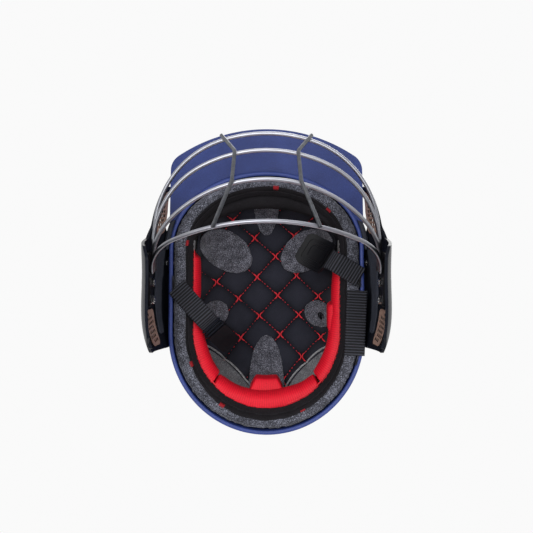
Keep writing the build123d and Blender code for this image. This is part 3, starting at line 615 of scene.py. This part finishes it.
# grey foam sheet above the quilt
foam = {"inset": 0.0184, "wall": 0.0034, "rise": 0.0445, "wave": 0.0004, "waveSize": 0.006}
foamForm = bowlSheet(foam["inset"], foam["rise"], 6)
ops.solidify(foamForm, geom=foamForm.faces[:], thickness=foam["wall"])
outwards(foamForm)
foamForm.normal_update()
for vertex in foamForm.verts:
    vertex.co += vertex.normal * foam["wave"] * rough.noise(vertex.co / foam["waveSize"])
newPiece("crown_foam_sheet", foamForm, paleFoam, stands=("crown_foam",))

# quilted crown pad: swollen diamonds between lines of stitching
quilt = {"inset": 0.0248, "wall": 0.0025, "rise": 0.045, "cell": 0.034, "turn": radians(41.5),
         "node": (-0.0116, 0.0099), "puff": 0.0025, "shoulder": 0.0036, "pinch": 0.0006, "pinchReach": 0.005,
         "crease": 0.12, "creaseSize": 0.011}


def quiltHeight(point):
    flat = Vector((point.x - quilt["node"][0], point.y - quilt["node"][1]))
    place = Matrix.Rotation(-quilt["turn"], 2) @ flat / quilt["cell"]
    offU, offV = [abs(part - round(part)) * quilt["cell"] for part in place]
    lift = (1 - exp(-offU / quilt["shoulder"])) * (1 - exp(-offV / quilt["shoulder"]))
    dip = exp(-(offU ** 2 + offV ** 2) / quilt["pinchReach"] ** 2)
    creases = quilt["crease"] * rough.noise(point / quilt["creaseSize"])
    return quilt["puff"] * (lift + creases * lift) - quilt["pinch"] * dip


quiltForm = bowlSheet(quilt["inset"], quilt["rise"], 7)
for vertex in quiltForm.verts:
    place, outward = onBowl(vertex.co, quilt["inset"])
    vertex.co = place - outward * quiltHeight(place)
ops.solidify(quiltForm, geom=quiltForm.faces[:], thickness=-quilt["wall"])
outwards(quiltForm)
quiltPiece = newPiece("quilted_crown_pad", quiltForm, quiltCloth, stands=("crown_quilt",))
# the quilting's height, which the quilt cloth turns into painted shade in the creases and painted light on the puffs
setFibre(quiltPiece, lambda point: Vector((quiltHeight(point) / quilt["puff"], 0, 0)))
print("quilt ready,", len(quiltPiece.data.polygons), "faces")


# the sideways direction and the one along, both square to the outward one
def crossways(outward, along):
    side = outward.cross(along).normalized()
    return side, side.cross(outward).normalized()


# one stitch: a small closed drop of thread laid along its direction
def threadDrop(form, place, along, outward, length, thickness):
    made = ops.create_icosphere(form, subdivisions=1, radius=0.5)
    side, ahead = crossways(outward, along)
    turn = Matrix((ahead, side, outward)).transposed().to_4x4()
    sized = Matrix.Diagonal((length, thickness, thickness, 1))
    ops.transform(form, matrix=Matrix.Translation(place) @ turn @ sized, verts=made["verts"])


# one ring of a tube, turned and placed; gives back its edges
def addRing(form, place, turn, segments, radius, capped=False):
    made = ops.create_circle(form, cap_ends=capped, segments=segments, radius=radius)
    ops.transform(form, matrix=Matrix.Translation(place) @ turn, verts=made["verts"])
    return list({edge for vertex in made["verts"] for edge in vertex.link_edges})


# a thread through a path of places, each with the direction away from what it lies on
def threadTube(form, path, thickness):
    last = None
    for index, (place, outward) in enumerate(path):
        ahead = path[min(index + 1, len(path) - 1)][0] - path[max(index - 1, 0)][0]
        side, ahead = crossways(outward, ahead)
        turn = Matrix((side, outward, ahead)).transposed().to_4x4()
        end = index in (0, len(path) - 1)
        ring = addRing(form, place, turn, 6, thickness / 2 * (0.55 if end else 1.0), end)
        if last:
            ops.bridge_loops(form, edges=last + ring)
        last = ring


# the place on the quilt straight above a spot in plan, or none beyond its edge
def onQuilt(spot):
    x, y = spot[:2]
    wide = bowl["halfWidth"] - quilt["inset"]
    turn, reach = domeAt(y, quilt["inset"])
    rest = 1 - (x / wide) ** 2 - ((y - turn) / reach) ** 2
    if rest < 0.02:
        return None
    roof = Vector((x, y, bowl["shoulder"] + wide * sqrt(rest)))
    if roof.z < rimHeight(y, quilt["rise"] + 0.002):
        return None
    place, outward = onBowl(roof, quilt["inset"])
    return place - outward * quiltHeight(place), outward


# grey foam corners that lie over the quilt's edge behind the cushions, outside a straight chord in plan
corners = {"inset": 0.0283, "wall": 0.001, "rise": 0.04, "lip": 0.0024, "lipLift": 0.0008,
               "chords": {"left": ((-0.074, 0.083), (-0.016, 0.136)), "right": ((0.08, 0.078), (0.018, 0.138))}}
for side, (start, end) in corners["chords"].items():
    cornerForm = bowlSheet(corners["inset"], corners["rise"], 7)
    first, last = Vector((*start, 0)), Vector((*end, 0))
    along = (last - first).normalized()
    away = Vector((along.y, -along.x, 0))
    if away.y < 0:
        away.negate()
    for place, direction in ((first, away), (first, along), (last, -along)):
        cutAway(cornerForm, place, direction)
    ops.solidify(cornerForm, geom=cornerForm.faces[:], thickness=corners["wall"])
    outwards(cornerForm)
    newPiece("foam_corner_" + side, cornerForm, cornerFoam)
    spots = [first + (last - first) * step / 24 for step in range(25)]      # the pale cut edge along the chord
    chord = filter(None, [onQuilt(spot) for spot in spots])
    lipForm = bmesh.new()
    path = [(place - outward * corners["lipLift"], outward) for place, outward in chord]
    threadTube(lipForm, path, corners["lip"])
    threadPiece("foam_edge_" + side, lipForm, paleFoam)


# red stitching of the quilt: thick legs of thread at each crossing and fine dashes along the edges between
stitch = {"legReach": 0.0062, "legThickness": 0.0017, "legGap": -0.0029, "dashLength": 0.0035, "dashPitch": 0.0044,
          "dashThickness": 0.0012, "cells": range(-5, 6)}
stitchForm = bmesh.new()


def quiltWay(heading):
    angle = quilt["turn"] + radians(heading)
    return Vector((cos(angle), sin(angle)))


def fromPlan(spots):
    found = [onQuilt(spot) for spot in spots]
    return all(found) and [(place, -outward) for place, outward in found]


legs = 0
for i in stitch["cells"]:
    for j in stitch["cells"]:
        knot = Vector(quilt["node"]) + quiltWay(0) * quilt["cell"] * i + quiltWay(90) * quilt["cell"] * j
        for side, first, last in ((1, 0, -90), (-1, 90, 180)):      # the two legs touch back to back
            bend = knot + Vector((side * stitch["legGap"], 0))
            start, end = knot + quiltWay(first) * stitch["legReach"], knot + quiltWay(last) * stitch["legReach"]
            shares = [step / 8 for step in range(9)]
            spots = [start * (1 - s) ** 2 + bend * 2 * s * (1 - s) + end * s ** 2 for s in shares]
            path = fromPlan(spots)
            if path:
                threadTube(stitchForm, path, stitch["legThickness"])
                legs += 1
        for way in (quiltWay(0), quiltWay(90)):
            distance = stitch["legReach"] + stitch["dashPitch"] * 0.5
            while distance < quilt["cell"] - stitch["legReach"]:
                path = fromPlan([knot + way * distance, knot + way * (distance + 0.001)])
                if path:
                    (place, outward), following = path
                    threadDrop(stitchForm, place, following[0] - place, outward, stitch["dashLength"],
                               stitch["dashThickness"])
                distance += stitch["dashPitch"]
threadPiece("quilt_stitching", stitchForm, redThread)
print("quilt stitching ready,", legs, "legs")


# a block with rounded corners on the bowl, between two places along it, two heights and two insets
def bowlBlock(form, along, rise, inset, rounding):
    top = ops.create_grid(form, x_segments=14, y_segments=10, size=0.5)["verts"]
    ops.translate(form, vec=Vector((0, 0, 0.5)), verts=top)
    ring = [e for e in form.edges if e.is_boundary and all(v in top for v in e.verts)]
    for step in range(4):
        drawn = ops.extrude_edge_only(form, edges=ring)["geom"]
        newVerts = [item for item in drawn if isinstance(item, bmesh.types.BMVert)]
        ops.translate(form, vec=Vector((0, 0, -0.25)), verts=newVerts)
        newEdges = [item for item in drawn if isinstance(item, bmesh.types.BMEdge)]
        ring = [item for item in newEdges if all(v in newVerts for v in item.verts)]
    ops.holes_fill(form, edges=[e for e in form.edges if e.is_boundary], sides=0)
    for vertex in form.verts:
        u, v, w = vertex.co.x * 2, vertex.co.y * 2, vertex.co.z + 0.5      # w is 1 on the face towards the head
        falls = [(1 - min(abs(part), 1) ** rounding) ** (1 / rounding) for part in (u, v)]
        lift = w * (0.45 + 0.55 * falls[0] * falls[1])
        spans = ((along, u / 2 + 0.5), (rise, v / 2 + 0.5), (inset, lift))
        vertex.co = onRound(*[low + (high - low) * share for (low, high), share in spans])
    ops.recalc_face_normals(form, faces=form.faces)


# ribbed tabs that stand out of the rear and right cushions
tabs = [
    {"name": "rear_cushion_tab", "along": (0.155, 0.196), "rise": (0.026, 0.056), "inset": (0.03, 0.052)},
    {"name": "right_cushion_tab", "along": (0.028, 0.06), "rise": (0.018, 0.045), "inset": (0.03, 0.0385)},
]
for tab in tabs:
    tabForm = bmesh.new()
    bowlBlock(tabForm, tab["along"], tab["rise"], tab["inset"], 5)
    tabPiece = newPiece(tab["name"], tabForm, redRib)
    applyModifier(tabPiece, "SUBSURF", levels=2, render_levels=2)
    setFibre(tabPiece, padFibre)

# foam blocks that close the space between shell and ear guard in front of each ear
spacers = {"rise": (-0.009, 0.008), "inset": (-0.0004, -0.0046),
           "runs": {"right": (-0.062, -0.034), "left": (0.385, 0.413)}}
for side, run in spacers["runs"].items():
    spacerForm = bmesh.new()
    bowlBlock(spacerForm, run, spacers["rise"], spacers["inset"], 6)
    spacerPiece = newPiece("guard_spacer_" + side, spacerForm, slateCloth)

# piping along the lower edge of each red cushion
piping = {"thickness": 0.0017, "rise": 0.0104, "inset": 0.0268, "step": 0.004,
          "runs": [(-0.03, 0.09), (0.1, 0.247), (0.262, 0.333), (0.347, 0.383)]}
pipingForm = bmesh.new()
for start, end in piping["runs"]:
    count = int((end - start) / piping["step"])
    alongs = [start + (end - start) * step / count for step in range(count + 1)]
    path = [(onRound(along, piping["rise"], piping["inset"]), Vector((0, 0, -1))) for along in alongs]
    threadTube(pipingForm, path, piping["thickness"])
threadPiece("cushion_piping", pipingForm, redThread)
print("tabs and piping ready")

# camera at the photograph's angle
view = {"target": (0.0, -0.016, 0.1), "distance": 0.9, "elevation": -84.0, "focalPixels": 833.0,
        "pixels": 533, "sensor": 36.0}
rise = radians(view["elevation"])
cameraData = bpy.data.cameras.new("camera")
cameraData.sensor_width = view["sensor"]
cameraData.lens = view["focalPixels"] * view["sensor"] / view["pixels"]
camera = newObject("camera", cameraData)
back = Vector((0, -cos(rise), sin(rise))) * view["distance"]
camera.location = Vector(view["target"]) + back
camera.rotation_euler = (radians(90 - view["elevation"]), 0, 0)
bpy.context.scene.camera = camera


# the place and outward direction where the line of sight at a picture position meets a piece
def seenOn(piece, across, down):
    data = piece.data
    tree = BVHTree.FromPolygons([v.co for v in data.vertices], [p.vertices[:] for p in data.polygons])
    half = view["pixels"] / 2
    sight = camera.rotation_euler.to_matrix() @ Vector((across - half, half - down, -view["focalPixels"])).normalized()
    hit = tree.ray_cast(camera.location, sight)
    if hit[0] is None:
        hit = tree.find_nearest(camera.location + sight * view["distance"])
    return hit[:2]


# bar tacks: short red stitches side by side across the collar, each at its position in the picture
tack = {"threads": 7, "length": 0.0068, "thickness": 0.0009, "pitch": 0.00085, "lift": 0.0001, "stray": 0.0004,
        "seenAt": [(276, 188), (325, 213), (195, 243), (343, 263), (344, 315), (336, 368), (304, 412), (222, 405),
                   (198, 361)]}
tackForm = bmesh.new()
for across, down in tack["seenAt"]:
    place, normal = seenOn(wrapPiece, across, down)
    inwards = -onBowl(place, bowl["liningInset"])[1]
    around = normal.cross(inwards).normalized()
    across = around.cross(normal).normalized()
    for index in range(tack["threads"]):
        spot = place + around * tack["pitch"] * (index - (tack["threads"] - 1) / 2) + normal * tack["lift"]
        spot += across * chance.uniform(-tack["stray"], tack["stray"])
        threadDrop(tackForm, spot, across, normal, tack["length"], tack["thickness"])
newPiece("bar_tacks", tackForm, tackThread)

# round button on the right side felt, with a ring about it
button = {"seenAt": (321, 317), "radius": 0.0052, "ring": 0.0016, "cap": 0.0036, "capHeight": 0.0014, "steps": 28}
place, normal = seenOn(bpy.data.objects["felt_side_right_patch"], *button["seenAt"])
buttonForm = bmesh.new()
made = ops.create_circle(buttonForm, segments=8, radius=button["ring"] / 2)
ops.rotate(buttonForm, matrix=Matrix.Rotation(pi / 2, 3, "X"), verts=made["verts"])
ops.translate(buttonForm, vec=Vector((button["radius"], 0, 0)), verts=made["verts"])
ops.spin(buttonForm, geom=buttonForm.verts[:] + buttonForm.edges[:], cent=Vector((0, 0, 0)),
               axis=Vector((0, 0, 1)), angle=2 * pi, steps=button["steps"], use_merge=True, use_duplicate=False)
made = ops.create_icosphere(buttonForm, subdivisions=3, radius=1)
ops.scale(buttonForm, vec=Vector((button["cap"], button["cap"], button["capHeight"])), verts=made["verts"])
outwards(buttonForm)
facing = normal.to_track_quat("Z", "Y").to_matrix().to_4x4()
ops.transform(buttonForm, matrix=Matrix.Translation(place) @ facing, verts=buttonForm.verts)
newPiece("felt_button", buttonForm, satinBlack)
print("bar tacks ready")


# straps: elastic webbing with ribs across it, along the run of its centre line
straps = {
    "left": {"hinge": (-0.0976, 0.006, 0.09959756), "heading": 48, "run": 0.046, "climbRun": 0.016, "climb": 0.018},
    "right": {"hinge": (0.09465692, 0.079, 0.08672569), "heading": -87, "run": 0.06, "climbRun": 0.01,
              "climb": -0.002},
    "chin": {"hinge": (0.1016, -0.004, 0.10136083), "heading": 212, "run": 0.03, "climbRun": 0.009, "climb": 0.008},
}
weave = {"width": 0.022, "wall": 0.0018, "pitch": 0.003, "ribHeight": 0.0007, "ribFade": 0.0022, "endFade": 0.003,
         "bend": 0.009, "edge": 0.0009, "edgeLeast": 0.12, "fuzz": 0.00008, "fuzzSize": 0.0015}
slider = {"strap": "left", "backs": (0.012, 0.007, 0.002), "off": 0.0026, "halfWidth": 0.0124,
          "thickness": 0.0026, "shares": (-1, -0.94, -0.5, 0, 0.5, 0.94, 1)}


# a centre line of two straight runs joined by an arc: the place and direction so far along it
def centreLine(strap):
    slant = atan2(strap["climb"], strap["climbRun"])
    short = weave["bend"] * tan(abs(slant) / 2)
    rising = hypot(strap["climb"], strap["climbRun"])
    arc = weave["bend"] * abs(slant)
    first, total = strap["run"] - short, strap["run"] - short + arc + rising - short

    def at(distance):
        if distance <= first:
            return Vector((distance, 0)), 0.0
        if distance < first + arc:
            turned = (distance - first) / weave["bend"]
            side = copysign(1, slant)
            lift = weave["bend"] * (1 - cos(turned))
            return Vector((first + weave["bend"] * sin(turned), side * lift)), side * turned
        past = distance - first - arc + short
        return Vector((strap["run"] + past * cos(slant), past * sin(slant))), slant
    return at, total


for side, strap in straps.items():
    turn = radians(strap["heading"])
    ahead = Vector((1, 0, 0)) * cos(turn) + rimY * sin(turn)
    aside = ahead.cross(rimZ)
    upward = aside.cross(ahead)
    at, total = centreLine(strap)
    strapForm = bmesh.new()
    ops.create_grid(strapForm, x_segments=int(total / weave["pitch"] * 8), y_segments=22, size=0.5)
    ops.solidify(strapForm, geom=strapForm.faces[:], thickness=0.2)
    outwards(strapForm)
    middleZ = sum(v.co.z for v in strapForm.verts) / len(strapForm.verts)
    spots = []
    for vertex in strapForm.verts:
        face = 1 if vertex.co.z > middleZ else -1
        distance = (vertex.co.x + 0.5) * total
        across = vertex.co.y * weave["width"]
        fromEdge = weave["width"] / 2 - abs(across)
        rib = 0.5 + 0.5 * cos(2 * pi * distance / weave["pitch"])
        rib *= min(fromEdge / weave["ribFade"], 1)
        rib *= min(distance / weave["endFade"], 1, (total - distance) / weave["endFade"])
        rounded = 1 - (max(weave["edge"] - fromEdge, 0) / weave["edge"]) ** 2
        thick = weave["wall"] / 2 * sqrt(max(rounded, weave["edgeLeast"])) + weave["ribHeight"] * rib ** 0.8
        thick += weave["fuzz"] * rough.noise(Vector((distance, across, face)) / weave["fuzzSize"])
        middle, slant = at(distance)
        normal = Vector((-sin(slant), cos(slant)))
        flat = middle + normal * face * thick
        vertex.co = Vector(strap["hinge"]) + ahead * flat.x + upward * flat.y + aside * across
        spots.append(Vector((across, distance, 0)))
    ops.recalc_face_normals(strapForm, faces=strapForm.faces)
    node, body = side + "_strap", side + "_harness"
    strapPiece = newPiece(side + "_webbing", strapForm, webbing, body, (node,))
    fibre = strapPiece.data.attributes.new("fibre", "FLOAT_VECTOR", "POINT")
    for value, spot in zip(fibre.data, spots):
        value.vector = spot
    if side == slider["strap"]:
        sliderForm = bmesh.new()
        for back in slider["backs"]:
            middle, slant = at(total - back)
            flat = middle - Vector((-sin(slant), cos(slant))) * slider["off"]
            centre = Vector(strap["hinge"]) + ahead * flat.x + upward * flat.y
            path = [(centre + aside * slider["halfWidth"] * share, upward) for share in slider["shares"]]
            threadTube(sliderForm, path, slider["thickness"])
        threadPiece("strap_slider", sliderForm, glossBlack, body)
for side in straps:
    node = side + "_strap_anchor"
    anchorForm = nodeForm(node)
    ops.subdivide_edges(anchorForm, edges=anchorForm.edges[:], cuts=1)
    anchorPiece = newPiece(node + "_tab", anchorForm, webbing, stands=(node,), smooth=False)
    setFibre(anchorPiece, lambda point: Vector((roundBowl(point), point.z, 0)))
print("straps ready")


# seams of the cloth cover on the outside: a welt with a row of stitches on each side; ends says how high above the
# rim the seam at each azimuth stops
cover = {"ends": {90: 0.006, 38: 0.006, 142: 0.006, -25: 0.03, 205: 0.03, -90: 0.03}, "inset": -0.0001,
         "weltWidth": 0.0022, "stitchLength": 0.0028, "stitchThickness": 0.00065, "stitchOff": 0.0028,
         "steps": 184, "first": 4, "sweep": 104, "pitch": 0.0035, "centre": 0.15, "reach": 0.11}
coverForm = bmesh.new()
for azimuth, low in cover["ends"].items():
    way = Vector((cos(radians(azimuth)), sin(radians(azimuth)), 0))
    path = []
    for step in range(cover["steps"]):
        angle = radians(cover["first"] + cover["sweep"] * step / cover["steps"])
        direction = way * sin(angle) + Vector((0, 0, cos(angle)))
        spot = Vector((0, bowl["middle"], cover["centre"])) + direction * cover["reach"]
        place, outward = onBowl(spot, cover["inset"])
        if place.z > rimHeight(place.y, low) and (not path or (place - path[-1][0]).length > cover["pitch"]):
            path.append((place, outward))
    threadTube(coverForm, path, cover["weltWidth"])
    for (place, outward), following in zip(path, path[1:]):
        along = following[0] - place
        side = outward.cross(along).normalized()
        for off in (-cover["stitchOff"], cover["stitchOff"]):
            spot = onBowl(place + side * off, cover["inset"])[0]
            threadDrop(coverForm, spot, along, outward, cover["stitchLength"], cover["stitchThickness"])
threadPiece("cover_seams", coverForm, shellThread)

# cloth binding round the rim of the shell
binding = {"inset": 0.0022, "width": 0.0045, "height": 0.0034, "drop": 0.0002, "steps": 240, "near": 0.0005}
bindingForm = bmesh.new()
rings = []
for step in range(binding["steps"]):
    along = bowl["frontTurn"] + wholeRound * step / binding["steps"]
    behind, place, before = [onRound(along + off, -binding["drop"], binding["inset"])
                             for off in (-binding["near"], 0, binding["near"])]
    ahead = before - behind
    side = Vector((0, 0, 1)).cross(ahead).normalized()
    up = ahead.cross(side).normalized()
    turn = Matrix((side, up, ahead.normalized())).transposed().to_4x4()
    sized = Matrix.Diagonal((binding["width"], binding["height"], 1, 1))
    rings.append(addRing(bindingForm, place, turn @ sized, 12, 0.5))
    if step:
        ops.bridge_loops(bindingForm, edges=rings[-2] + rings[-1])
ops.bridge_loops(bindingForm, edges=rings[-1] + rings[0])
threadPiece("rim_binding", bindingForm, shellThread)
print("cover seams and binding ready")

# pale floor under the helmet, seen only from above, so that the camera below looks past it
floorForm = bmesh.new()
ops.create_grid(floorForm, x_segments=8, y_segments=8, size=9.0)
floorMaterial, floorShader = newMaterial("pale floor", 0.9, 0.2)[:2]
floorTree = floorMaterial.node_tree
floorShader.inputs["Base Color"].default_value = (0.84, 0.84, 0.84, 1)
floor = newMesh("floor", floorForm, floorMaterial)
floor.location = (0, 0, -0.0005)
floorRays = addNode(floorTree, "ShaderNodeLightPath").outputs
looked = calculated("MAXIMUM", floorRays["Is Camera Ray"], floorRays["Is Glossy Ray"])
underneath = addNode(floorTree, "ShaderNodeNewGeometry").outputs["Backfacing"]
solid = calculated("MULTIPLY", looked, calculated("SUBTRACT", 1, underneath))
mixShaders(solid, addNode(floorTree, "ShaderNodeBsdfTransparent"), floorShader, "Material Output")

# soft studio light, from below for the bowl and from above for the outside
bpy.context.scene.view_settings.view_transform = "Standard"
lampTarget = Vector((0, 0, 0.12))
lamps = {      # place, size in metres and power in watts
    "key from below": ((-0.3, -0.4, -0.95), 0.7, 13),
    "fill from below": ((0.6, 0.25, -0.75), 0.9, 6),
    "top light": ((0.3, -0.5, 1.2), 1.0, 9),
    "back light": ((-0.3, 0.9, 0.7), 0.9, 6),
}
for name, (place, size, power) in lamps.items():
    data = bpy.data.lights.new(name, "AREA")
    data.size = size
    data.energy = power
    light = newObject(name, data)
    light.location = place
    aim = lampTarget - light.location
    light.rotation_euler = aim.to_track_quat("-Z", "Y").to_euler()

world = bpy.data.worlds.new("studio")
bpy.context.scene.world = world
world.use_nodes = True
worldTree = world.node_tree
rays = addNode(worldTree, "ShaderNodeLightPath").outputs
seen = calculated("MAXIMUM", rays["Is Camera Ray"], rays["Is Transmission Ray"])
seen = calculated("MAXIMUM", seen, rays["Is Glossy Ray"])
soft = worldTree.nodes["Background"]
soft.inputs["Color"].default_value = (1, 1, 1, 1)
soft.inputs["Strength"].default_value = 0.45
backdrop = addNode(worldTree, "ShaderNodeBackground", {"Color": (0.955, 0.955, 0.955, 1), "Strength": 1.0})
mixShaders(seen, soft, backdrop, "World Output")
print("camera, floor and light ready")
